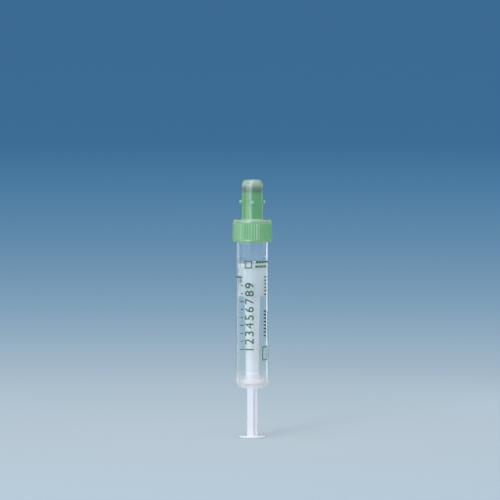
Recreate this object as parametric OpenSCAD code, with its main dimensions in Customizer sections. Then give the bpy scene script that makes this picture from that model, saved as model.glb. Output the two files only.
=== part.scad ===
// Syringe-type blood collection tube, 65 mm long, for coagulation samples.
// It stands on the thumb disc of its plunger: origin at the middle of the
// disc's underside, +Z up along the tube, -Y towards the front of the label.
// All sizes are in millimetres.

/* [Tube] */
// Length of the tube from the middle of its base to its mouth
tube_l = 65; // [55:1:90]
// Outside diameter of the tube below the cap
tube_d = 12.8; // [12.6:0.1:13.4]
// Wall of the tube round the bore that the piston slides in
tube_wall = 0.8; // [0.7:0.05:1]
// Thickness of the domed base
base_t = 1.1; // [0.8:0.1:1.4]
// Rise of the base's underside from its middle to its edge
base_rise = 1.6; // [1.2:0.1:2.2]
// Height of the collar inside the base, from the middle of the base
collar_h = 5.7; // [4.5:0.1:8]
// Length of the mouth that is turned down for the thread
thread_l = 7.7; // [7:0.1:8.5]
// Depth of that step, which is the height of the thread
thread_depth = 0.3; // [0.2:0.05:0.4]
// Bevel at the mouth's inner edge
mouth_bevel = 0.2; // [0.1:0.05:0.3]

/* [Screw cap] */
// Height of the grooved grip
grip_h = 8.6; // [8:0.1:10]
// Wall of the grip at its top edge
grip_wall = 0.75; // [0.6:0.05:1.2]
// How much thicker that wall is at the lower edge
grip_draft = 0.2; // [0:0.05:0.4]
// Radial room for the thread between tube and grip
thread_room = 0.4; // [0.3:0.05:0.45]
// Number of grooves round the grip
groove_count = 48; // [24:1:60]
// Depth of a groove
groove_depth = 0.18; // [0.1:0.02:0.25]
// Diameter of the round cutter that a groove is shaped by
groove_d = 0.5; // [0.4:0.02:0.6]
// Plain band above the grooves
band_top = 1; // [0.6:0.1:1.6]
// Plain band below the grooves
band_low = 0.6; // [0.3:0.1:1.2]
// Thickness of the plate on the tube's mouth
plate_t = 1.1; // [0.8:0.1:1.6]
// Rounding of the grip's top edge, as a bevel
grip_bevel = 0.45; // [0.2:0.05:0.6]
// Length of the plug that seals inside the bore
plug_l = 8.4; // [8:0.1:10]
// Wall of the plug
plug_wall = 0.85; // [0.6:0.05:1]
// Length of the taper at the plug's lower end
plug_taper_l = 1.5; // [0.5:0.1:2.5]
// How far that taper runs in
plug_taper_in = 0.6; // [0.2:0.05:0.7]

/* [Neck of the cap] */
// Height of the neck above the plate
neck_h = 15.3; // [14:0.1:20]
// Diameter of the parallel top of the neck, which a needle hub slides over
neck_d = 8.3; // [8:0.05:8.6]
// Diameter of the neck at its foot
neck_foot_d = 8.6; // [8.4:0.05:9.4]
// Height of the bevel round the neck's top
neck_bevel_h = 1.6; // [0.8:0.1:2]
// Width of the bevel round the neck's top
neck_bevel_w = 0.85; // [0.4:0.05:1]
// Passage down the neck
passage_d = 5.8; // [5:0.1:6.2]
// Depth of the locking lugs below the neck's top
lug_drop = 8.5; // [7:0.1:9.5]
// Diameter of a locking lug
lug_d = 1.45; // [1.2:0.05:1.8]
// How far a lug stands out of the neck
lug_out = 0.85; // [0.5:0.05:1.2]
// Number of locking lugs
lug_count = 4; // [2:1:4]

/* [Membrane] */
// Diameter of the rubber membrane
membrane_d = 6.9; // [6.6:0.05:7.1]
// Thickness of its rim, which the neck grips
membrane_rim_t = 2.8; // [1.6:0.1:3.2]
// Depth of the membrane's face below the neck's top
membrane_drop = 0.6; // [0.2:0.1:1.2]
// Thickness of the neck's lip over the rim
lip_t = 1.9; // [1.7:0.1:2.2]
// Hole in the lip, through which the needle pierces
pierce_d = 4.4; // [4:0.1:5]
// Diameter of the hollow in the membrane's underside
hollow_d = 3.2; // [2:0.1:4]
// Depth of that hollow
hollow_depth = 0.9; // [0.4:0.1:1.2]

/* [Piston] */
// Gap between the plug and the piston before the sample is drawn
headspace = 7.5; // [6:0.1:9]
// Length of the piston
piston_l = 12.9; // [12:0.1:16]
// How far a sealing lip stands out of the piston's waist
lip_out = 0.25; // [0.15:0.05:0.35]
// Height of each sealing lip
lip_h = 1.6; // [1:0.1:2.4]
// Rise of the cone on the piston's top
crown_rise = 0.8; // [0.4:0.1:1.5]
// Diameter of the flat tip of that cone
crown_d = 1.2; // [0.6:0.1:3]
// Wall of the piston's hollow foot, which goes over the collar
foot_wall = 0.65; // [0.5:0.05:0.9]
// Radial room between that wall and the collar
foot_gap = 0.2; // [0.15:0.05:0.3]

/* [Plunger rod] */
// Diameter of the thumb disc
disc_d = 10.2; // [9:0.1:12]
// Thickness of the thumb disc
disc_t = 0.9; // [0.7:0.1:1.6]
// Bevel round the thumb disc
disc_bevel = 0.2; // [0.1:0.05:0.3]
// Length of the cross-shaped handle between disc and tube
handle_l = 18.2; // [14:0.1:30]
// Span of the handle's ribs
handle_w = 3.9; // [3.4:0.1:4.4]
// Thickness of the handle's ribs
handle_rib = 1.1; // [0.8:0.05:1.4]
// Diameter of the round stem inside the tube
stem_d = 5.2; // [4.6:0.1:5.4]
// Diameter of the stem where it meets the piston
stem_top_d = 6.2; // [5.6:0.1:6.4]
// Length over which the stem widens
stem_flare_l = 13; // [4:0.5:16]
// Diameter of the neck at which the rod snaps off
snap_d = 2.6; // [2:0.1:3.2]
// Length of that neck
snap_l = 0.8; // [0.6:0.1:1.2]
// Diameter of the head that holds the rod in the piston
head_d = 4.2; // [3.6:0.1:5]
// Length of the head
head_l = 4; // [3:0.1:5]

/* [Contents and label] */
// Depth of the citrate solution on the piston
solution_h = 2.9; // [2:0.1:4]
// Thickness of the film label
label_t = 0.06; // [0.05:0.01:0.12]
// Distance of the label below the grip
label_drop = 6.4; // [4:0.1:10]
// Distance of the label above the middle of the base
label_lift = 7; // [5:0.1:12]
// Bare strip at the back, between the label's ends
label_gap = 2.5; // [1:0.1:8]

/* [Print] */
// Thickness of the printed ink
ink_t = 0.03; // [0.02:0.01:0.06]
// Width of a printed line
line_w = 0.35; // [0.2:0.05:0.6]
// Distance of the fill mark below the tube's mouth
fill_drop = 21.5; // [18:0.1:26]
// Length of the fill mark round the tube
fill_l = 4; // [2:0.1:6]
// Number of steps on the printed scale
scale_steps = 9; // [5:1:12]
// Length of a mark on the scale
mark_l = 1.2; // [0.6:0.1:2]
// Length of every third mark
long_mark_l = 2; // [1.2:0.1:3]
// Length of the heading's bars round the tube
heading_l = 6.6; // [4:0.1:9]
// Height of each of the heading's bars
heading_h = 0.9; // [0.5:0.1:1.6]
// Distance between those bars, and from the label's top edge
heading_gap = 0.9; // [0.5:0.1:2]
// Width of the empty frame near the label's lower edge
frame_w = 2.8; // [2:0.1:4]
// Height of the frame
frame_h = 5.4; // [3:0.1:7]
// Distance of the frame above the label's lower edge
frame_lift = 4.4; // [2:0.1:6]
// Number of dashes in the column above the frame
dash_count = 8; // [3:1:12]
// Distance from one dash to the next
dash_pitch = 1.35; // [0.8:0.05:2]
// Length of a dash
dash_l = 1.1; // [0.6:0.1:2]
// Distance of the first dash above the frame
dash_lift = 4; // [2:0.1:8]

/* [Fits] */
// Radial running clearance of piston and plug in the bore, and of the membrane
run_gap = 0.05; // [0.02:0.01:0.08]
// Radial room round the stem in the base's hole
rod_gap = 0.2; // [0.1:0.05:0.3]
// Room left at the end of the plunger's travel
end_gap = 0.2; // [0.1:0.05:0.4]

/* [Hidden] */
$fn = 96;
eps = 0.01;

// heights, from the thumb disc upwards
base_z = disc_t + handle_l;
mouth_z = base_z + tube_l;
thread_z = mouth_z - thread_l;
plug_z = mouth_z - plug_l;
piston_top = plug_z - headspace;
piston_z = piston_top - piston_l;
plate_top = mouth_z + plate_t;
grip_z = plate_top - grip_h;
neck_top = plate_top + neck_h;
lug_z = neck_top - lug_drop;
collar_top = base_z + collar_h;
label_z = base_z + label_lift;
label_top = grip_z - label_drop;
fill_z = mouth_z - fill_drop;

// radii that follow from a neighbour
tube_r = tube_d / 2;
bore_r = tube_r - tube_wall;
mouth_r = tube_r - thread_depth;
run_r = bore_r - run_gap;
waist_r = run_r - lip_out;
foot_r = waist_r - foot_wall;
collar_r = foot_r - foot_gap;
hole_r = stem_top_d / 2 + rod_gap;
grip_bore_r = tube_r + thread_room;
grip_top_r = grip_bore_r + grip_wall;
grip_low_r = grip_top_r + grip_draft;
label_r = tube_r + label_t;
seat_r = membrane_d / 2 + run_gap;

// the base is part of a sphere of this radius, and so is its floor
dome_r = (pow(tube_r, 2) + pow(base_rise, 2)) / (2 * base_rise);
floor_r = dome_r - base_t;
dome_z = base_z + dome_r;

// height of the floor where the piston's foot comes to rest on it
stop_z = dome_z - sqrt(pow(floor_r, 2) - pow(run_r, 2));
travel = piston_z - stop_z - end_gap;
foot_depth = collar_top - stop_z + end_gap;
head_z = piston_z + foot_depth + snap_l;

// membrane, from the lip downwards
rim_top = neck_top - lip_t;
rim_z = rim_top - membrane_rim_t;

// Round solid between two heights.
module drum(r, low, high) {
    translate([0, 0, low]) cylinder(r = r, h = high - low);
}

// Cone between two heights, r1 at the lower one.
module taper(r1, r2, low, high) {
    translate([0, 0, low]) cylinder(r1 = r1, r2 = r2, h = high - low);
}

// Ring wall between two heights, open at both ends.
module sleeve(outer, inner, low, high) {
    difference() {
        drum(outer, low, high);
        drum(inner, low - eps, high + eps);
    }
}

// Solid of a cylinder up to a height, closed below by a dome.
module domed(r, sphere_r, high) {
    edge = dome_z - sqrt(pow(sphere_r, 2) - pow(r, 2));
    drum(r, edge, high);
    intersection() {
        drum(r, dome_z - sphere_r, edge);
        translate([0, 0, dome_z]) sphere(r = sphere_r);
    }
}

// Clear polypropylene tube: thread at its mouth, domed base, and a collar that
// guides the rod and stops the piston.
module tube() {
    color([0.86, 0.91, 0.95, 0.35])
    difference() {
        union() {
            domed(tube_r, dome_r, thread_z);
            drum(mouth_r, thread_z, mouth_z);
        }
        difference() {
            domed(bore_r, floor_r, mouth_z + eps);
            drum(collar_r, base_z, collar_top);
        }
        drum(hole_r, base_z - eps, collar_top + eps);
        taper(bore_r, bore_r + mouth_bevel + eps, mouth_z - mouth_bevel, mouth_z + eps);
    }
}

// Clear film label wrapped round the tube, its ends not quite meeting behind.
module label() {
    color([0.93, 0.96, 0.96, 0.3])
    difference() {
        sleeve(label_r, tube_r, label_z, label_top);
        translate([-label_gap / 2, 0, label_z - eps])
            cube([label_gap, label_r + eps, label_top - label_z + 2 * eps]);
    }
}

// Degrees round the label for a length along it.
function turn(length) = length / label_r * 180 / PI;

// A field of ink on the label, or a window through it with some room over.
// Its middle lies at a distance round the label from the front, to the right
// when positive.
module ink_field(middle, low, width, height, over = 0) {
    rotate([0, 0, turn(middle - width / 2) - 90]) translate([0, 0, low])
        rotate_extrude(angle = turn(width))
            translate([label_r - over, 0]) square([ink_t + 2 * over, height]);
}

// Printed marks: a fill mark, a scale of plain steps, a heading of two bars,
// an empty frame and a column of dashes.
module label_print() {
    scale_x = -4.4;
    fill_x = -6.3;
    column_x = 5.6;
    heading_x = 4;
    scale_z = piston_top - travel;
    step = (fill_z - scale_z) / scale_steps;
    frame_z = label_z + frame_lift;
    dash_z = frame_z + frame_h + dash_lift;
    color([0.22, 0.42, 0.3]) {
        ink_field(fill_x, fill_z, fill_l, line_w);
        for (i = [0 : scale_steps - 1])
            ink_field(scale_x, scale_z + i * step, i % 3 == 0 ? long_mark_l : mark_l, line_w);
        for (row = [1 : 2])
            ink_field(heading_x, label_top - row * (heading_h + heading_gap), heading_l, heading_h);
        difference() {
            ink_field(column_x, frame_z, frame_w, frame_h);
            ink_field(column_x, frame_z + line_w, frame_w - 2 * line_w, frame_h - 2 * line_w, eps);
        }
    }
    color([0.25, 0.3, 0.3])
        for (i = [0 : dash_count - 1])
            ink_field(column_x, dash_z + i * dash_pitch, dash_l, line_w);
}

// The grip's outer wall, tapered, with a bevel round its top.
module grip_shell() {
    bevel_z = plate_top - grip_bevel;
    taper(grip_low_r, grip_top_r, grip_z, bevel_z);
    taper(grip_top_r, grip_top_r - grip_bevel, bevel_z, plate_top);
}

// Cutter for one groove of the grip, leaning with the taper.
module groove() {
    lean = atan(grip_draft / (grip_h - grip_bevel));
    translate([grip_low_r + groove_d / 2 - groove_depth, 0, grip_z])
        rotate([0, -lean, 0]) translate([0, 0, band_low])
            cylinder(d = groove_d, h = grip_h - band_low - band_top, $fn = 24);
}

// Locking lug, standing out of the neck.
module lug() {
    translate([passage_d / 2 + eps, 0, lug_z]) rotate([0, 90, 0])
        cylinder(d = lug_d, h = neck_d / 2 + lug_out - passage_d / 2 - eps, $fn = 48);
}

// Translucent green screw cap in one moulding: grooved grip, plug, and the
// neck that the needle is pushed on, with its lugs.
module screw_cap() {
    color([0.45, 0.72, 0.5, 0.85])
    difference() {
        union() {
            difference() {
                grip_shell();
                for (i = [0 : groove_count - 1])
                    rotate([0, 0, (i + 0.5) * 360 / groove_count]) groove();
                drum(grip_bore_r, grip_z - eps, mouth_z);
            }
            drum(run_r, plug_z + plug_taper_l, mouth_z + eps);
            taper(run_r - plug_taper_in, run_r, plug_z, plug_z + plug_taper_l);
            taper(neck_foot_d / 2, neck_d / 2, plate_top - eps, lug_z + lug_d);
            drum(neck_d / 2, lug_z + lug_d, neck_top - neck_bevel_h);
            taper(neck_d / 2, neck_d / 2 - neck_bevel_w, neck_top - neck_bevel_h, neck_top);
            for (i = [0 : lug_count - 1])
                rotate([0, 0, i * 360 / lug_count]) lug();
        }
        taper(run_r - plug_taper_in - plug_wall, run_r - plug_wall,
              plug_z - eps, plug_z + plug_taper_l);
        drum(run_r - plug_wall, plug_z + plug_taper_l, mouth_z);
        drum(passage_d / 2, mouth_z - eps, rim_z + eps);
        drum(seat_r, rim_z, rim_top);
        drum(pierce_d / 2 + run_gap, rim_top - eps, neck_top + eps);
    }
}

// Grey rubber membrane: a rim under the neck's lip, and a boss that fills
// the lip's hole.
module membrane() {
    color([0.5, 0.5, 0.5])
    difference() {
        union() {
            drum(membrane_d / 2, rim_z, rim_top);
            drum(pierce_d / 2, rim_top - eps, neck_top - membrane_drop);
        }
        drum(hollow_d / 2, rim_z - eps, rim_z + hollow_depth);
    }
}

// Piston of milky polyethylene, with a lip at each end, a hollow foot that
// goes over the collar, and a socket for the rod's head.
module piston() {
    color([0.93, 0.95, 0.96, 0.85])
    difference() {
        union() {
            drum(waist_r, piston_z, piston_top);
            drum(run_r, piston_z, piston_z + lip_h);
            drum(run_r, piston_top - lip_h, piston_top);
            taper(waist_r, crown_d / 2, piston_top - eps, piston_top + crown_rise);
        }
        drum(foot_r, piston_z - eps, piston_z + foot_depth);
        drum(snap_d / 2 + run_gap, piston_z + foot_depth - eps, head_z);
        drum(head_d / 2 + run_gap, head_z, head_z + head_l);
    }
}

// Plunger rod in one moulding: thumb disc, cross-shaped handle, round stem,
// snap-off neck and head.
module plunger_rod() {
    stem_z = base_z + base_t;
    color([0.94, 0.95, 0.97])
    union() {
        taper(disc_d / 2 - disc_bevel, disc_d / 2, 0, disc_bevel);
        drum(disc_d / 2, disc_bevel, disc_t - disc_bevel);
        taper(disc_d / 2, disc_d / 2 - disc_bevel, disc_t - disc_bevel, disc_t);
        for (angle = [0, 90])
            rotate([0, 0, angle]) translate([-handle_w / 2, -handle_rib / 2, disc_t - eps])
                cube([handle_w, handle_rib, stem_z - disc_t + 2 * eps]);
        drum(stem_d / 2, stem_z, piston_z - stem_flare_l);
        taper(stem_d / 2, stem_top_d / 2, piston_z - stem_flare_l, piston_z);
        drum(stem_top_d / 2, piston_z, piston_z + foot_depth);
        drum(snap_d / 2, piston_z + foot_depth - eps, head_z + eps);
        drum(head_d / 2, head_z, head_z + head_l);
    }
}

// Citrate solution, lying on the piston.
module citrate_solution() {
    color([0.8, 0.9, 0.95, 0.4])
    difference() {
        drum(run_r, piston_top, piston_top + solution_h);
        taper(waist_r, crown_d / 2, piston_top - eps, piston_top + crown_rise);
    }
}

tube();
label();
label_print();
screw_cap();
membrane();
piston();
plunger_rod();
citrate_solution();
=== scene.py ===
"""The looks of a syringe-type blood collection tube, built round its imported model.

Each section makes one piece, followed by the studio and the camera. Lengths of the tube
are in millimetres until a mesh is made, and heights are counted from the thumb disc's
underside, on which it stands. Lamps and the camera are placed in metres.
"""

from math import pi, radians

import bmesh
import bpy
import numpy as np
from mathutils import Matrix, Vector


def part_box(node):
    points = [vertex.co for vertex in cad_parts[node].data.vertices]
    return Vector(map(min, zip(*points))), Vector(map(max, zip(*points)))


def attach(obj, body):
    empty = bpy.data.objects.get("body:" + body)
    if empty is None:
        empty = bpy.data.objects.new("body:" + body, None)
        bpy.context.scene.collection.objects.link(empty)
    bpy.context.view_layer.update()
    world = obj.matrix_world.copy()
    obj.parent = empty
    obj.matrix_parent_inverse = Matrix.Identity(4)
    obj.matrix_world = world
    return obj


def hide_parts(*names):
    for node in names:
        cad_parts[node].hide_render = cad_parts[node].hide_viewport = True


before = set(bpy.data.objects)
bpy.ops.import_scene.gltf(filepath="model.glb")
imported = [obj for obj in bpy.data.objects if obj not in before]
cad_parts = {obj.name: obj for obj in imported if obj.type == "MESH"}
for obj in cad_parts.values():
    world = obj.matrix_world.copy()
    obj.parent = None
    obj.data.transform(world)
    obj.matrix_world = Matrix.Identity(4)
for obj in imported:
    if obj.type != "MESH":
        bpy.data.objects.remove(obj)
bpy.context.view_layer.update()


# ---------------------------------------------------------------------------
# Tube: injection-moulded in clear polypropylene, with a thread round its mouth, a
# domed base, and a collar inside the base that guides the plunger rod.

mm = 0.001


def corners_of(node):
    """Lowest and highest corner of a CAD node at rest, in millimetres."""
    return [np.array(corner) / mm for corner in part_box(node)]


def rounded(corners, steps=6):
    """Closed profile through (radius, height, fillet) corners. A fillet is an arc that
    touches both sides, c + (sin((1-k)t) p + sin(kt) q) / sin t for k from 0 to 1, where
    c is its centre, p and q run from c to where it touches, and t is their angle."""
    points = np.array([corner[:2] for corner in corners], float)
    profile = []
    neighbours = zip(np.roll(points, 1, 0), points, np.roll(points, -1, 0), corners)
    for before, here, after, (*_, fillet) in neighbours:
        if not fillet:
            profile.append(here[None])
            continue
        back, on = (side / np.linalg.norm(side) for side in (before - here, after - here))
        half = np.arccos(np.clip(back @ on, -1, 1)) / 2
        centre = here + (back + on) / np.linalg.norm(back + on) * fillet / np.sin(half)
        p, q = (here + side * fillet / np.tan(half) - centre for side in (back, on))
        k, turn = np.linspace(0, 1, steps + 1)[:, None], pi - 2 * half
        profile.append(centre + (np.sin((1 - k) * turn) * p + np.sin(k * turn) * q) / np.sin(turn))
    return np.concatenate(profile)


def grid_faces(rows, columns, closed_rows=True, closed_columns=True):
    """Four-cornered faces between the points of a grid, numbered row by row."""
    number = np.arange(rows * columns).reshape(rows, columns)
    if closed_rows:
        number = np.vstack([number, number[:1]])
    if closed_columns:
        number = np.hstack([number, number[:, :1]])
    quad = number[:-1, :-1], number[:-1, 1:], number[1:, 1:], number[1:, :-1]
    return np.stack([side.ravel() for side in quad], 1)


def piece(name, points, faces, sharp=35):
    """A smooth mesh object from points in millimetres; edges over sharp degrees stay crisp.
    Its shading follows the larger faces, so that a long wall doesn't bend towards the
    fillets at its ends and clear plastic shows what lies straight behind it."""
    mesh = bpy.data.meshes.new(name)
    mesh.from_pydata((np.asarray(points) * mm).tolist(), [], [list(face) for face in faces])
    shape = bmesh.new()
    shape.from_mesh(mesh)
    bmesh.ops.remove_doubles(shape, verts=shape.verts, dist=1e-8)
    bmesh.ops.dissolve_degenerate(shape, edges=shape.edges, dist=1e-8)
    bmesh.ops.delete(shape, geom=[edge for edge in shape.edges if not edge.link_faces], context="EDGES")
    shape.to_mesh(mesh)
    shape.free()
    mesh.shade_smooth()
    mesh.set_sharp_from_angle(angle=radians(sharp))
    body = bpy.data.objects.new(name, mesh)
    even = body.modifiers.new("even_shading", "WEIGHTED_NORMAL")
    even.weight, even.keep_sharp = 100, True
    bpy.context.scene.collection.objects.link(body)
    return body


def turned(name, profile, columns=192, swell=None, sharp=35):
    """A profile turned about the tube's axis: x = r cos a, y = r sin a, z = h, where r is
    the profile's radius plus swell(a, h, r)."""
    r, h = profile.T
    if np.sum(r * np.roll(h, -1) - np.roll(r, -1) * h) < 0:
        r, h = r[::-1], h[::-1]
    angle = np.linspace(0, 2 * pi, columns, endpoint=False)
    r, h, angle = np.broadcast_arrays(r[:, None], h[:, None], angle[None])
    if swell:
        r = r + swell(angle, h, r)
    points = np.stack([r * np.cos(angle), r * np.sin(angle), h], -1).reshape(-1, 3)
    return piece(name, points, grid_faces(*r.shape).tolist(), sharp)


def smooth(t):
    """A soft step: 0 up to t = 0, 1 from t = 1, and t^2 (3 - 2 t) between."""
    t = np.clip(t, 0, 1)
    return t * t * (3 - 2 * t)


def ridge(angle, height, start, turns, pitch, width):
    """How far a point is up a right-hand thread, 0 to 1. The thread's middle climbs as
    start + pitch * A / 2 pi, over A from 0 to that many turns; the ridge is a smooth hump
    of that width across it, and runs out over the first and last tenth of a turn."""
    lap = np.round((height - start) / pitch - angle / (2 * pi))
    along = angle / (2 * pi) + lap
    off = height - start - pitch * along
    hump = smooth(1.5 - 3 * np.abs(off) / width)
    return hump * smooth(np.minimum(along, turns - along) / 0.1)


tube_low, tube_high = corners_of("tube")
tube_r, mouth_z = tube_high[0], tube_high[2]
tube_wall = 0.8
bore_r = tube_r - tube_wall
thread_depth, thread_l, thread_pitch = 0.3, 7.7, 2.4
thread_crest, thread_w, thread_turns = 0.42, 1.1, 2.1
root_r = tube_r - thread_depth
thread_z = mouth_z - thread_l
thread_start = thread_z + 1.3
base_rise, base_t = 1.6, 1.1
collar_r, collar_l, hole_r = 4.45, 5.7, 3.3
dome_r = (tube_r**2 + base_rise**2) / (2 * base_rise)
dome_z = tube_low[2] + np.sqrt(dome_r**2 - hole_r**2)
base_z = dome_z - dome_r
collar_top = base_z + collar_l


def dome(radius, start, end, steps=14):
    """Points along a dome of that radius about dome_z: z = dome_z - sqrt(radius^2 - r^2)."""
    r = np.linspace(start, end, steps)
    return np.stack([r, dome_z - np.sqrt(radius**2 - r**2), 0 * r], 1).tolist()


inner_dome_r = dome_r - base_t
base_edge = dome(dome_r, hole_r, tube_r)[-1][:2]
floor_edge = dome(inner_dome_r, collar_r, bore_r)[-1][:2]
collar_foot = dome(inner_dome_r, 0, collar_r)[-1][:2]
tube_profile = rounded([
    *dome(dome_r, hole_r + 0.15, tube_r - 1.2), (*base_edge, 2.0),
    (tube_r, thread_z, 0.15), (root_r, thread_z + 0.3, 0.15),
    *[(root_r, z, 0) for z in np.linspace(thread_z + 0.5, mouth_z - 0.3, 72)],
    (root_r, mouth_z, 0.2), (bore_r, mouth_z, 0.2),
    (*floor_edge, 0.15), *dome(inner_dome_r, bore_r - 0.25, collar_r + 0.35),
    (*collar_foot, 0.25), (collar_r, collar_top, 0.2), (hole_r, collar_top, 0.3),
    (hole_r, base_z + 0.45, 0),
])


def tube_thread(angle, height, r):
    """The thread on the mouth's outside, from just above the step to just below the rim."""
    outside = (r > bore_r + 0.2) & (height > thread_z + 0.4)
    crest = ridge(angle, height, thread_start, thread_turns, thread_pitch, thread_w)
    return outside * thread_crest * crest


tube = turned("tube_wall", tube_profile, 288, tube_thread)


def srgb(code):
    """Linear colour of an sRGB hex code: ((c + 0.055) / 1.055) ^ 2.4, or c / 12.92 near black."""
    c = np.array([int(code[i:i + 2], 16) for i in (1, 3, 5)]) / 255
    return (*np.where(c > 0.04045, ((c + 0.055) / 1.055) ** 2.4, c / 12.92), 1)


def add(tree, kind, inputs=None, **settings):
    """Adds a node. Each input, by name or number, takes a value or a link from an output."""
    node = tree.nodes.new("ShaderNode" + kind)
    for name, value in settings.items():
        setattr(node, name, value)
    for key, value in (inputs or {}).items():
        if isinstance(value, bpy.types.NodeSocket):
            tree.links.new(value, node.inputs[key])
        else:
            node.inputs[key].default_value = value
    return node


def graded(tree, distance, levels):
    """A colour that changes with a distance, in straight steps through (millimetres, colour)
    levels. A number from 0 to 1 in a colour's place gives that share of white."""
    low, high = levels[0][0], levels[-1][0]
    reach = {"Value": distance, "From Min": low * mm, "From Max": high * mm}
    ramp = add(tree, "ValToRGB", {"Fac": add(tree, "MapRange", reach).outputs[0]})
    stops = ramp.color_ramp.elements
    for k, (level, colour) in enumerate(levels):
        place = (level - low) / (high - low)
        stop = stops[0] if k == 0 else stops[-1] if k == len(levels) - 1 else stops.new(place)
        stop.position = place
        stop.color = srgb(colour) if isinstance(colour, str) else (colour, colour, colour, 1)
    return ramp.outputs[0]


def material(name):
    """An empty node material and its tree."""
    made = bpy.data.materials.new(name)
    made.use_nodes = True
    made.node_tree.nodes.clear()
    return made, made.node_tree


def finish_with(tree, surface, shade=None):
    """Ends a tree in that shader. With a shade, lamps shine through in that colour."""
    if shade:
        through = add(tree, "BsdfTransparent", {"Color": srgb(shade)})
        shadow = add(tree, "LightPath").outputs["Is Shadow Ray"]
        surface = add(tree, "MixShader", {0: shadow, 1: surface, 2: through.outputs[0]}).outputs[0]
    add(tree, "OutputMaterial", {"Surface": surface})


def grain_bump(tree, place, scale, detail, strength):
    """Fine moulded grain: a bump of a fiftieth of a millimetre at the most."""
    grain = add(tree, "TexNoise", {"Vector": place, "Scale": scale, "Detail": detail}).outputs[0]
    return add(tree, "Bump", {"Height": grain, "Strength": strength, "Distance": 0.02 * mm}).outputs[0]


def dress(body, finish, rides, stands_for=None):
    """Gives a piece its material, the body it rides on and the CAD node it replaces."""
    body.data.materials.append(finish)
    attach(body, rides)
    if stands_for:
        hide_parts(stands_for)


# clear polypropylene copolymer, moulded in a polished tool: glossy, with a slight milky
# veil that thickens to frost in the heavy base and its collar, and on the dome's outer skin
clear_polypropylene, tree = material("clear_polypropylene_moulded")
place = add(tree, "TexCoord").outputs["Object"]
flow = add(tree, "Mapping", {"Vector": place, "Scale": (500, 500, 60)}).outputs[0]
ripple = add(tree, "TexNoise", {"Vector": flow, "Scale": 1.0, "Detail": 2.0}).outputs[0]
bump = add(tree, "Bump", {"Height": ripple, "Strength": 0.05, "Distance": 0.002 * mm}).outputs[0]
clear = add(tree, "BsdfPrincipled", {
    "Base Color": srgb("#ffffff"), "Roughness": 0.1, "IOR": 1.49, "Transmission Weight": 1.0,
    "Normal": bump})
veil = add(tree, "BsdfPrincipled", {"Base Color": srgb("#edeced"), "Roughness": 0.4, "IOR": 1.49})
glow = add(tree, "BsdfTranslucent", {"Color": srgb("#edeced")})
height = add(tree, "SeparateXYZ", {0: place}).outputs["Z"]
inside_frost = graded(tree, height, (
    (base_z, 0.5), (base_z + 2.4, 0.4), (collar_top - 1.6, 0.22), (collar_top, 0.08),
    (collar_top + 3, 0.02)))
# the skin is told by its distance from the dome's centre, and above that from the axis
centre = (0, 0, dome_z * mm)
from_centre = add(tree, "VectorMath", {0: place, 1: centre}, operation="SUBTRACT").outputs[0]
below = add(tree, "VectorMath", {0: from_centre, 1: (1, 1, 0)}, operation="MINIMUM").outputs[0]
depth = add(tree, "VectorMath", {0: below}, operation="LENGTH").outputs["Value"]
skin_frost = graded(tree, depth, ((dome_r - 1.2, 0.0), (dome_r - 0.6, 0.5), (dome_r - 0.1, 0.95)))
skin_glow = graded(tree, depth, ((dome_r - 1.2, 0.3), (dome_r - 0.4, 0.85)))
haze = add(tree, "MixShader", {0: skin_glow, 1: veil.outputs[0], 2: glow.outputs[0]})
frost = add(tree, "Math", {0: inside_frost, 1: skin_frost}, operation="MAXIMUM").outputs[0]
hazy = add(tree, "MixShader", {0: frost, 1: clear.outputs[0], 2: haze.outputs[0]})
finish_with(tree, hazy.outputs[0], "#fdfeff")
dress(tube, clear_polypropylene, "barrel", "tube")


# ---------------------------------------------------------------------------
# Label: clear polymer film, die-cut and stuck round the tube. Its ends don't quite
# meet behind, which leaves a bare strip to see the sample through.

label_low, label_high = corners_of("label")
label_r, label_z, label_top = label_high[0], label_low[2], label_high[2]
label_gap = 2.5
film_gap = 0.01


def curved(u, h, r):
    """Points on a drum: u is the distance round it from the front at the label's radius,
    so a = u / label_r - 90 degrees, x = r cos a, y = r sin a, z = h."""
    a = u / label_r - pi / 2
    return np.stack(np.broadcast_arrays(r * np.cos(a), r * np.sin(a), h), -1)


def film():
    """The film's four-cornered section, carried round the drum from one end to the other."""
    half, columns = pi * label_r - label_gap / 2, 160
    u = np.linspace(-half, half, columns)[:, None]
    h = np.array([label_top, label_top, label_z, label_z])[None]
    r = np.array([tube_r + film_gap, label_r, label_r, tube_r + film_gap])[None]
    points = curved(u, h, r).reshape(-1, 3)
    ends = [[3, 2, 1, 0], [len(points) - 4 + i for i in range(4)]]
    return piece("film_label", points, grid_faces(columns, 4, closed_rows=False).tolist() + ends)


# clear satin polypropylene film: nearly invisible, it whitens the tube a little and
# catches the light as a broad soft sheen
satin_film, tree = material("clear_film_satin")
clear = add(tree, "BsdfTransparent", {"Color": srgb("#fafcfc")})
sheen = add(tree, "BsdfPrincipled", {"Base Color": srgb("#f3f7f7"), "Roughness": 0.3, "IOR": 1.49})
faint = add(tree, "MixShader", {0: 0.04, 1: clear.outputs[0], 2: sheen.outputs[0]})
finish_with(tree, faint.outputs[0])
dress(film(), satin_film, "barrel", "label")


# ---------------------------------------------------------------------------
# Print: ink on the film. A scale with plain figures reads upwards along the tube to the
# fill mark; the rest is kept to bars, two empty frames and columns of dashes.

ink_t, ink_gap = 0.03, 0.002
ink_section = label_r + np.array([ink_gap, ink_t, ink_t, ink_gap])[None, None]
line_w, bar_h, bar_gap, dash_pitch = 0.35, 0.8, 0.25, 1.35
fill_drop, fill_x, fill_l, fill_w = 21.5, -6.3, 4, 0.55
fill_z = mouth_z - fill_drop
piston_box = corners_of("piston")
solution_box = corners_of("citrate_solution")
piston_z, piston_top = piston_box[0][2], solution_box[0][2]
travel = 33.6
scale_z = piston_top - travel
scale_steps = 9
scale_step = (fill_z - scale_z) / scale_steps


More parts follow.
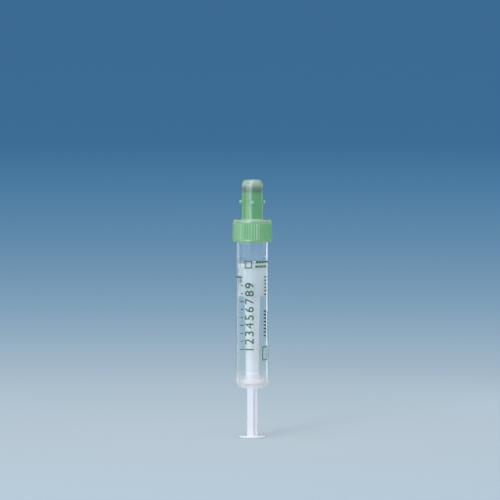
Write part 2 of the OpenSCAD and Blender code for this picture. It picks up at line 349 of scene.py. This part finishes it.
def bars(fields, columns=7):
    """Thin blocks of ink on the drum, one for each (middle, low, width, height) field: a
    grid round each block's section, closed at its two ends."""
    middle, low, width, height = np.array(fields, float).T[:, :, None, None]
    u = middle + width * np.linspace(-0.5, 0.5, columns)[None, :, None]
    h = low + height * np.array([1, 1, 0, 0])[None, None]
    points = curved(u, h, ink_section).reshape(-1, 3)
    side = grid_faces(columns, 4, closed_rows=False)
    ends = np.array([[3, 2, 1, 0], [4 * columns - 4 + i for i in range(4)]])
    one = np.vstack([side, ends])
    first = np.arange(len(fields))[:, None, None] * 4 * columns
    return points, (one[None] + first).reshape(-1, 4)


def figure(text, size, weight):
    """A figure's mesh as points and faces. It is centred on x = 0, stands on y = 0, and goes
    from -0.5 to 0.5 in depth."""
    letter = bpy.data.curves.new(text, "FONT")
    letter.body, letter.align_x, letter.size = text, "CENTER", size
    letter.offset, letter.extrude = weight, 0.5
    letter.resolution_u = 5
    block = bpy.data.objects.new(text, letter)
    flat = bpy.data.meshes.new_from_object(block)
    points = np.empty(len(flat.vertices) * 3)
    flat.vertices.foreach_get("co", points)
    faces = [list(face.vertices) for face in flat.polygons]
    bpy.data.objects.remove(block)
    bpy.data.curves.remove(letter)
    bpy.data.meshes.remove(flat)
    return points.reshape(-1, 3), faces


def printed(name, figures):
    """Figures set on the drum. Each is (text, size, weight, u, h, sideways): its own x
    and y run along u and h, or along h and -u where it lies sideways."""
    points, faces = [], []
    for text, size, weight, u, h, sideways in figures:
        corners, sides = figure(text, size, weight)
        x, y, depth = corners.T
        across, up = (-y, x) if sideways else (x, y)
        first = sum(map(len, points))
        faces += [[first + corner for corner in side] for side in sides]
        points.append(curved(u + across, h + up, label_r + ink_gap + (depth + 0.5) * ink_t))
    return piece(name, np.concatenate(points), faces)


def frames(fields, steps=6):
    """Empty frames of ink, one for each (middle, low, width, height) field: its section is
    carried round the rectangle (x, y), whose four sides run between -1 and 1."""
    middle, low, width, height = np.array(fields, float).T[:, :, None, None]
    k = np.linspace(-1, 1, steps, endpoint=False)
    x, y = np.concatenate([-k**0, k, k**0, -k]), np.concatenate([k, k**0, -k, -k**0])
    x, y = x[None, :, None], y[None, :, None]
    inside = line_w * np.array([0, 0, 1, 1])[None, None]
    u, h = middle + x * (width / 2 - inside), low + height / 2 + y * (height / 2 - inside)
    points = curved(u, h, ink_section).reshape(-1, 3)
    one = grid_faces(4 * steps, 4)
    first = np.arange(len(fields))[:, None, None] * 16 * steps
    return points, (one[None] + first).reshape(-1, 4)


def heading_row(drop, start, widths):
    """A row of bars across the label's top, as fields. Each follows the last after a gap."""
    widths = np.array(widths)
    middles = start + np.cumsum(widths + bar_gap) - widths / 2
    return [(u, label_top - drop, width, bar_h) for u, width in zip(middles, widths)]


def dash_column(middle, low, count, width, height):
    """A column of dashes, as fields, one dash pitch apart."""
    return [(middle, low + i * dash_pitch, width, height) for i in range(count)]


# green flexographic ink, cured to a low gloss
green_ink, tree = material("green_ink_cured")
ink = add(tree, "BsdfPrincipled", {"Base Color": srgb("#1c6632"), "Roughness": 0.45})
finish_with(tree, ink.outputs[0])

scale_x, mark_l, long_mark_l = -4.4, 1.2, 2
fill_mark = (fill_x, fill_z, fill_l, fill_w)
scale_marks = [
    (scale_x, scale_z + i * scale_step, mark_l if i % 3 else long_mark_l, line_w)
    for i in range(scale_steps)]
heading = [
    *heading_row(1.8, 1.2, (0.9, 0.9, 0.9, 0.9, 0.9, 0.9)),
    *heading_row(3.5, 0.9, (1.1, 0.6, 0.7, 0.5, 0.7, 0.6))]
dress(piece("label_marks", *bars([fill_mark, *scale_marks, *heading])),
      green_ink, "barrel", "label_print")

column_x, frame_w, frame_h, frame_z = 5.6, 2.8, 5.4, label_z + 4.4
top_frame = (-1.6, label_top - 3.8, 2.9, 2.9)
low_frame = (column_x, frame_z, frame_w, frame_h)
dress(piece("label_frames", *frames([top_frame, low_frame])), green_ink, "barrel")

# the 4 keeps its plain weight, since a bolder one would close its counter
figure_x, figure_size, plain_weight, bold_weight = 0.5, 4.9, 0.001, 0.035
scale_figures = [
    (str(i + 1), figure_size, plain_weight if i == 3 else bold_weight, figure_x,
     scale_z + i * scale_step + 0.2, True) for i in range(scale_steps)]
fill_figure = ("10", 1.9, 0.03, -5.4, fill_z - 1.8, False)
dress(printed("scale_figures", [*scale_figures, fill_figure]), green_ink, "barrel")

# black ink of the same kind, printed over in small dashes
black_ink, tree = material("black_ink_cured")
ink = add(tree, "BsdfPrincipled", {"Base Color": srgb("#2a3535"), "Roughness": 0.45})
finish_with(tree, ink.outputs[0])
dash_z = frame_z + frame_h + 4
dashes = [
    *dash_column(column_x, dash_z, 8, 1.3, 0.6),
    *dash_column(column_x + 1.7, dash_z - 0.6, 8, 0.8, 0.45),
    *dash_column(column_x + 0.1, fill_z - 6.6, 6, 1.2, 0.5)]
dress(piece("label_dashes", *bars(dashes)), black_ink, "barrel")


# ---------------------------------------------------------------------------
# Plunger rod: moulded in one piece of white polypropylene, with a thumb disc, a
# cross-shaped handle, a round stem, and a head that snaps into the piston.

rod_high = corners_of("plunger_rod")[1]
disc_r, disc_t, disc_dip = rod_high[0], 0.9, 0.02
handle_arm, handle_rib = 3.9 / 2, 1.1 / 2
stem_r, stem_top_r, stem_flare_l = 5.2 / 2, 6.2 / 2, 13
stem_z = base_z + base_t
head_r, head_top = 4.2 / 2, rod_high[2]
head_z = head_top - 4
snap_r, snap_z = 2.6 / 2, head_z - 0.8


def cross(angle):
    """Radius of the handle's cross section: each bar is ((cos a / arm)^8 + (sin a / rib)^8)
    ^ (-1/8), a rectangle with rounded ends, and (p^14 + q^14)^(1/14) joins the two bars
    with a small fillet."""
    c, s = np.abs(np.cos(angle)) + 1e-6, np.abs(np.sin(angle)) + 1e-6
    one = ((c / handle_arm) ** 8 + (s / handle_rib) ** 8) ** (-1 / 8)
    two = ((c / handle_rib) ** 8 + (s / handle_arm) ** 8) ** (-1 / 8)
    return (one**14 + two**14) ** (1 / 14)


# the handle's foot has a quarter-round fillet: lift is its height, flare its width
foot_fillet, foot_steps, handle_steps = 0.45, 7, 10
foot_turn = np.linspace(0, pi / 2, foot_steps)
lift = foot_fillet * (1 - np.cos(foot_turn))
flare = foot_fillet * (1 - np.sin(foot_turn))
# a profile is closed, so each open stretch has one corner more at its end, which is dropped
disc_rows = rounded([
    (0, 0, 0), (disc_r, 0, 0.35), (disc_r, disc_t, 0.35), (4.4, disc_t - disc_dip, 0),
    (2.9, disc_t - disc_dip, 0)])[:-1]
handle_z = np.concatenate([
    disc_t + lift - disc_dip, np.linspace(2, stem_z - 0.02, handle_steps)])
stem_rows = rounded([
    (0, stem_z, 0), (stem_r, stem_z, 0.2), (stem_r, piston_z - stem_flare_l, 0),
    (stem_top_r, piston_z, 0), (stem_top_r, snap_z, 0.3), (snap_r, snap_z, 0.2),
    (snap_r, head_z, 0.2), (head_r, head_z, 0.3), (head_r, head_top, 0.5), (0, head_top, 0)])[1:]
rod_profile = np.concatenate([disc_rows, np.stack([0 * handle_z, handle_z], 1), stem_rows])
swelling = np.concatenate([flare, np.zeros(handle_steps)])


def handle(angle, height, r):
    """Rows on the axis between the disc and the stem take the handle's cross section,
    widened by a fillet where they meet the disc."""
    between = (r == 0) & (height > handle_z[0] - 0.1) & (height < stem_z)
    return between * (cross(angle) + np.interp(height, handle_z, swelling))


rod = turned("plunger_rod_moulding", rod_profile, 192, handle)

# white polypropylene, moulded: silky, and light glows a little way into it
white_polypropylene, tree = material("white_polypropylene_moulded")
bump = grain_bump(tree, add(tree, "TexCoord").outputs["Object"], 2500.0, 3.0, 0.15)
white = add(tree, "BsdfPrincipled", {
    "Base Color": srgb("#eaebf0"), "Roughness": 0.3, "IOR": 1.49, "Normal": bump,
    "Subsurface Weight": 0.35, "Subsurface Radius": (1.0, 1.0, 1.1),
    "Subsurface Scale": 0.8 * mm})
finish_with(tree, white.outputs[0])
dress(rod, white_polypropylene, "plunger", "plunger_rod")


# ---------------------------------------------------------------------------
# Piston: moulded in milky polyethylene, snapped over the rod's head. A soft lip at each
# end wipes the bore, and its hollow foot goes over the collar when it is drawn down.

run_r, crown_tip = piston_box[1][0], piston_box[1][2]
lip_out, lip_h, foot_r = 0.25, 1.6, 4.65
waist_r, crown_r = run_r - lip_out, run_r - 0.5
socket_r, socket_neck_r = head_r + 0.05, snap_r + 0.05
piston_profile = rounded([
    (foot_r, piston_z, 0.2), (run_r - 0.05, piston_z, 0.15), (run_r, piston_z + 0.5, 0.3),
    (run_r - 0.02, piston_z + lip_h - 0.3, 0.3), (waist_r, piston_z + lip_h + 0.2, 0.3),
    (waist_r, piston_top - lip_h - 0.2, 0.3), (run_r - 0.02, piston_top - lip_h + 0.3, 0.3),
    (run_r, piston_top - 0.5, 0.3), (run_r - 0.05, piston_top, 0.15), (crown_r, piston_top, 0.15),
    (0.9, crown_tip, 0.8), (0, crown_tip, 0),
    (0, head_top + 0.1, 0), (socket_r, head_top, 0.5), (socket_r, head_z, 0.25),
    (socket_neck_r, head_z, 0.2), (socket_neck_r, snap_z, 0.2), (foot_r, snap_z, 0.5)])
piston = turned("piston_moulding", piston_profile, 160)

# low-density polyethylene, moulded: milky and waxy, so that the rod's head shows as a shade
milky_polyethylene, tree = material("milky_polyethylene_moulded")
milk = add(tree, "BsdfPrincipled", {
    "Base Color": srgb("#eef2f6"), "Roughness": 0.35, "IOR": 1.51,
    "Subsurface Weight": 0.8, "Subsurface Radius": (1.0, 1.0, 1.05),
    "Subsurface Scale": 2.5 * mm})
glow = add(tree, "BsdfTranslucent", {"Color": srgb("#e9eef1")})
waxy = add(tree, "MixShader", {0: 0.4, 1: milk.outputs[0], 2: glow.outputs[0]})
finish_with(tree, waxy.outputs[0], "#a4aab0")
dress(piston, milky_polyethylene, "plunger", "piston")


# ---------------------------------------------------------------------------
# Citrate solution: a measured dose of clear, watery liquid that lies on the piston and
# wets the wall a little, so that its surface is dished.

solution_r, solution_top = solution_box[1][0], solution_box[1][2]
dish_depth, dish_reach = 0.12, 0.7
across = np.linspace(0, solution_r, 24)
surface = solution_top - dish_depth + dish_depth * np.exp((across - solution_r) / dish_reach)
solution_low, solution_tip = piston_top + 0.03, crown_tip + 0.02
solution_profile = np.concatenate([
    [(0, solution_tip), (0.6, solution_tip), (crown_r, solution_low), (solution_r, solution_low)],
    np.stack([across, surface], 1)[::-1]])
solution = turned("citrate_dose", solution_profile, 160)

# water with a little salt: no colour of its own, it shows by bending what is behind it
clear_solution, tree = material("citrate_solution_clear")
water = add(tree, "BsdfPrincipled", {
    "Base Color": srgb("#fdfeff"), "Roughness": 0.0, "IOR": 1.333, "Transmission Weight": 1.0})
clear = add(tree, "BsdfTransparent", {"Color": srgb("#fdfeff")})
wet = add(tree, "MixShader", {0: 0.4, 1: clear.outputs[0], 2: water.outputs[0]})
finish_with(tree, wet.outputs[0], "#fdfeff")
dress(solution, clear_solution, "plunger", "citrate_solution")


# ---------------------------------------------------------------------------
# Screw cap: one moulding of translucent green polyethylene. Its grooved grip screws on the
# tube, its plug seals the bore, and a needle hub locks on the lugs of its neck.

cap_low, cap_high = corners_of("screw_cap")
grip_low_r, plug_z, neck_top = cap_high[0], cap_low[2], cap_high[2]
plate_t, grip_h, grip_draft = 1.1, 8.6, 0.2
plate_top = mouth_z + plate_t
grip_z = plate_top - grip_h
grip_top_r, grip_bore_r = grip_low_r - grip_draft, tube_r + 0.4
groove_count, groove_depth = 48, 0.2
groove_low, groove_high = grip_z + 0.7, plate_top - 1.1
plug_r, plug_bore_r = bore_r - 0.05, bore_r - 0.9
neck_r, neck_foot_r, passage_r = 8.3 / 2, 8.6 / 2, 5.8 / 2
lug_count, lug_z, lug_r, lug_out = 4, neck_top - 8.5, 1.45 / 2, 0.85
lug_step = 2 * pi / lug_count
nut_w, nut_turns, nut_depth = 1.0, 1.8, 0.45
rim_top, rim_t, seat_r, pierce_r = neck_top - 1.9, 2.8, 3.5, 2.25
rim_z = rim_top - rim_t


def rows(r1, z1, r2, z2, count):
    """Points along a straight side, with no fillets."""
    return [(r, z, 0) for r, z in zip(np.linspace(r1, r2, count), np.linspace(z1, z2, count))]


def grip_r(z):
    """Radius of the grip's taper at a height."""
    return np.interp(z, [grip_z, plate_top], [grip_low_r, grip_top_r])


cap_profile = rounded([
    (grip_bore_r, grip_z, 0.2), (grip_low_r, grip_z, 0.25),
    *rows(grip_r(grip_z + 0.5), grip_z + 0.5, grip_r(groove_low), groove_low, 3),
    *rows(grip_r(groove_low + 0.1), groove_low + 0.1, grip_r(groove_low + 0.5), groove_low + 0.5, 5),
    *rows(grip_r(groove_high - 0.5), groove_high - 0.5, grip_r(groove_high), groove_high, 6),
    (grip_top_r, plate_top, 0.5), (neck_foot_r, plate_top, 0.35),
    *rows(neck_foot_r - 0.01, plate_top + 0.5, neck_r, lug_z - 1.2, 3),
    *rows(neck_r, lug_z - 0.9, neck_r, lug_z + 0.9, 27),
    (neck_r, neck_top - 1.6, 1.4), (neck_r - 0.85, neck_top, 0.45), (pierce_r, neck_top, 0.25),
    (pierce_r, rim_top, 0.1), (seat_r, rim_top, 0.2), (seat_r, rim_z, 0.2), (passage_r, rim_z, 0.15),
    (passage_r, mouth_z, 0.4), (plug_bore_r, mouth_z, 0.4), (plug_bore_r, plug_z + 1.5, 0.3),
    (plug_bore_r - 0.6, plug_z, 0.3), (plug_r - 0.6, plug_z, 0.25), (plug_r, plug_z + 1.5, 0.5),
    (plug_r, mouth_z, 0.15), (grip_bore_r, mouth_z, 0.3),
    *rows(grip_bore_r, mouth_z - 0.5, grip_bore_r, grip_z + 0.6, 60)], steps=5)


def cap_relief(angle, height, r):
    """Grooves round the grip, lugs round the neck and the thread inside. A groove's depth
    goes as ((1 - cos 48a) / 2) ^ 0.7, and fades out at both ends. A lug is a flat-topped
    hump in the distance from its middle. The thread lies half a pitch from the tube's."""
    ends = smooth((height - groove_low) / 0.5) * smooth((groove_high - height) / 0.5)
    grooves = (r > grip_top_r - 0.01) * ends * (0.5 - 0.5 * np.cos(groove_count * angle)) ** 0.7
    round_neck = (angle + lug_step / 2) % lug_step - lug_step / 2
    away = np.hypot(round_neck * neck_r, height - lug_z) / lug_r
    lugs = (np.abs(r - neck_r) < 0.05) * (height < neck_top - 1.7) * smooth((1.1 - away) / 0.22)
    inside = (np.abs(r - grip_bore_r) < 0.01) & (height < mouth_z - 0.4)
    thread = ridge(angle, height, thread_start + thread_pitch / 2, nut_turns, thread_pitch, nut_w)
    return lug_out * lugs - groove_depth * grooves - nut_depth * (inside * thread)


cap = turned("screw_cap_moulding", cap_profile, 432, cap_relief)

# translucent green polyethylene, moulded: light soaks in, so the lit side turns pale and
# the far side glows a deeper green; the grey membrane shows under the thin lip.
# Painted light by height: a painted highlight as a near-white band at the plug's foot and
# painted shade as a darker green above it, a painted highlight round the grip's top edge,
# and the thin lip, paler of its own, made nearly white by a painted highlight. The lugs
# carry a painted highlight towards their tips.
green_polyethylene, tree = material("green_polyethylene_moulded")
place = add(tree, "TexCoord").outputs["Object"]
bump = grain_bump(tree, place, 1800.0, 3.0, 0.12)
height = add(tree, "SeparateXYZ", {0: place}).outputs["Z"]
# the colour by height holds painted light: a near-white painted highlight at the plug's foot, painted
# shade above it up to the grip, a painted highlight round the grip's top edge and a painted highlight
# on the lip
cap_colour_and_painted_light = graded(tree, height, (
    (plug_z, "#eef8f4"), (plug_z + 0.35, "#eef8f4"), (plug_z + 0.45, "#6fa781"),
    (grip_z - 0.05, "#6fa781"), (grip_z + 0.05, "#a2d8a0"), (plate_top - 2.4, "#a2d8a0"),
    (plate_top - 0.5, "#bde2c2"), (plate_top - 0.3, "#e8f8ec"), (plate_top + 0.15, "#e8f8ec"),
    (plate_top + 0.5, "#88c68c"), (rim_z - 0.4, "#86c48a"), (rim_z + 0.3, "#7f9385"),
    (rim_top - 1.3, "#8a9b8f"), (rim_top + 0.4, "#d6e6dc"), (neck_top, "#e8f4ee")))
# painted highlight on the lugs: paler towards their tips, where they stand out from the neck
level = add(tree, "VectorMath", {0: place, 1: (1, 1, 0)}, operation="MULTIPLY").outputs[0]
radius = add(tree, "VectorMath", {0: level}, operation="LENGTH").outputs["Value"]
on_neck = add(tree, "Math", {0: height, 1: (plate_top + 2) * mm}, operation="GREATER_THAN").outputs[0]
outward = graded(tree, radius, ((neck_r + 0.1, 0.0), (neck_r + 0.5, 1.0)))
painted_lug_highlight = add(tree, "Math", {0: on_neck, 1: outward}, operation="MULTIPLY").outputs[0]
cap_colour_and_painted_light = add(tree, "Mix", {0: painted_lug_highlight, 6: cap_colour_and_painted_light, 7: srgb("#bcead2")}, data_type="RGBA").outputs[2]
green = add(tree, "BsdfPrincipled", {
    "Base Color": cap_colour_and_painted_light, "Roughness": 0.2, "IOR": 1.51, "Normal": bump,
    "Coat Weight": 1.0, "Coat Roughness": 0.28, "Coat IOR": 2.4})
glow = add(tree, "BsdfTranslucent", {"Color": srgb("#54c45c"), "Normal": bump})
lit = add(tree, "MixShader", {0: 0.3, 1: green.outputs[0], 2: glow.outputs[0]})
thin = add(tree, "BsdfPrincipled", {
    "Base Color": srgb("#b8e0bd"), "Roughness": 0.3, "IOR": 1.15, "Transmission Weight": 1.0,
    "Normal": bump})
soaked = add(tree, "MixShader", {0: 0.22, 1: lit.outputs[0], 2: thin.outputs[0]})
finish_with(tree, soaked.outputs[0], "#b0dab4")
dress(cap, green_polyethylene, "cap", "screw_cap")


# ---------------------------------------------------------------------------
# Membrane: a disc of grey stopper rubber, pressed into the top of the neck under its lip,
# which the needle pierces and which closes again behind it.

membrane_high = corners_of("membrane")[1]
membrane_r, membrane_top, boss_r = membrane_high[0], membrane_high[2], 2.2
hollow_r, hollow_top = 1.6, rim_z + 0.9
membrane_profile = rounded([
    (0, membrane_top - 0.12, 0), (boss_r - 0.8, membrane_top, 0.4), (boss_r, membrane_top, 0.2),
    (boss_r, rim_top - 0.02, 0.1), (membrane_r, rim_top - 0.02, 0.2), (membrane_r, rim_z, 0.2),
    (hollow_r, rim_z, 0.2), (hollow_r - 0.2, hollow_top, 0.3), (0, hollow_top, 0)])
membrane = turned("rubber_membrane", membrane_profile, 128)

# grey halobutyl rubber, compression-moulded: matt, with a fine bloom
grey_rubber, tree = material("grey_halobutyl_rubber")
bump = grain_bump(tree, add(tree, "TexCoord").outputs["Object"], 4000.0, 4.0, 0.4)
rubber = add(tree, "BsdfPrincipled", {"Base Color": srgb("#8d8f8a"), "Roughness": 0.75, "Normal": bump})
finish_with(tree, rubber.outputs[0])
dress(membrane, grey_rubber, "seal", "membrane")


# ---------------------------------------------------------------------------
# Studio: a pale floor that deepens to a soft blue with distance. A wide softbox and a
# narrow one light the tube from the front left, and others from each side and from above.
# Two narrow upright strips close behind it draw the light lines along its walls, and an
# even glow comes from all round.

floor_colours = (
    (0, "#c2d0da"), (312, "#b8ccda"), (780, "#98bdd8"), (1300, "#80b0d6"), (2030, "#66a2d2"),
    (2600, "#5592c6"))
far = floor_colours[-1][1]
floor_size = 12.0
angle = np.linspace(0, 2 * pi, 128, endpoint=False)
r = np.array([0.0, 0.5, 2.0, floor_size])[:, None] / mm
rings = np.stack(np.broadcast_arrays(r * np.cos(angle), r * np.sin(angle), 0), -1)
floor_faces = grid_faces(*rings.shape[:2], closed_rows=False).tolist()
floor = piece("floor", rings.reshape(-1, 3), floor_faces)

pale_floor, tree = material("floor_painted_pale")
place = add(tree, "TexCoord").outputs["Object"]
distance = add(tree, "VectorMath", {0: place}, operation="LENGTH").outputs["Value"]
paint = add(tree, "BsdfPrincipled", {
    "Base Color": graded(tree, distance, floor_colours), "Roughness": 0.9, "Specular IOR Level": 0.0})
finish_with(tree, paint.outputs[0])
floor.data.materials.append(pale_floor)

world = bpy.data.worlds.new("studio")
bpy.context.scene.world = world
world.use_nodes = True
world.cycles.sampling_method = "NONE"
tree = world.node_tree
tree.nodes.clear()
path = add(tree, "LightPath")
scattered = add(tree, "Math", {0: path.outputs["Diffuse Depth"], 1: 0.5}, operation="GREATER_THAN")
sky = add(tree, "Mix", {0: scattered.outputs[0], 6: srgb(far), 7: srgb("#f4f6f8")}, data_type="RGBA")
glow = add(tree, "Background", {"Color": sky.outputs[2], "Strength": 0.54})
add(tree, "OutputWorld", {"Surface": glow.outputs[0]})


middle_z = 0.05


def softbox(name, azimuth, elevation, distance, width, height, power, colour="#ffffff"):
    """An area lamp aimed at the tube's middle height. Azimuth 0 is the front, -90 the left."""
    lamp = bpy.data.lights.new(name, "AREA")
    lamp.shape, lamp.size, lamp.size_y, lamp.energy = "RECTANGLE", width, height, power
    lamp.color = srgb(colour)[:3]
    stand = bpy.data.objects.new(name, lamp)
    bpy.context.scene.collection.objects.link(stand)
    a, e = radians(azimuth), radians(elevation)
    stand.location = (
        distance * np.sin(a) * np.cos(e), -distance * np.cos(a) * np.cos(e),
        middle_z + distance * np.sin(e))
    stand.rotation_euler = (pi / 2 - e, 0, a)
    stand.visible_camera = False
    return stand


softbox("key", -40, 14, 1.4, 2.0, 0.8, 8, "#f0f6ff")
softbox("streak", -22, 28, 1.4, 0.25, 1.6, 4)
softbox("left", -120, 12, 1.2, 0.35, 0.9, 1.0)
softbox("right", 84, 14, 1.4, 1.0, 0.8, 4.2).visible_glossy = False
softbox("edge_left", -132, 0, 0.3, 0.06, 0.2, 0.02)
softbox("edge_right", 132, 0, 0.3, 0.06, 0.2, 0.06)
softbox("top", -20, 75, 1.4, 0.8, 0.8, 4.5)

bpy.context.scene.view_settings.view_transform = "Standard"


# ---------------------------------------------------------------------------
# Camera: a long lens a little above the tube's middle, three metres away.

view_z, view_x = 73.2 * mm, -0.9 * mm
view_elevation, view_distance, view_width = radians(3.3), 3.0, 0.1945
lens = bpy.data.cameras.new("camera")
lens.sensor_width = 36
lens.lens = lens.sensor_width * view_distance / view_width
camera = bpy.data.objects.new("camera", lens)
bpy.context.scene.collection.objects.link(camera)
camera.location = (
    view_x, -view_distance * np.cos(view_elevation),
    view_z + view_distance * np.sin(view_elevation))
camera.rotation_euler = (pi / 2 - view_elevation, 0, 0)
bpy.context.scene.camera = camera
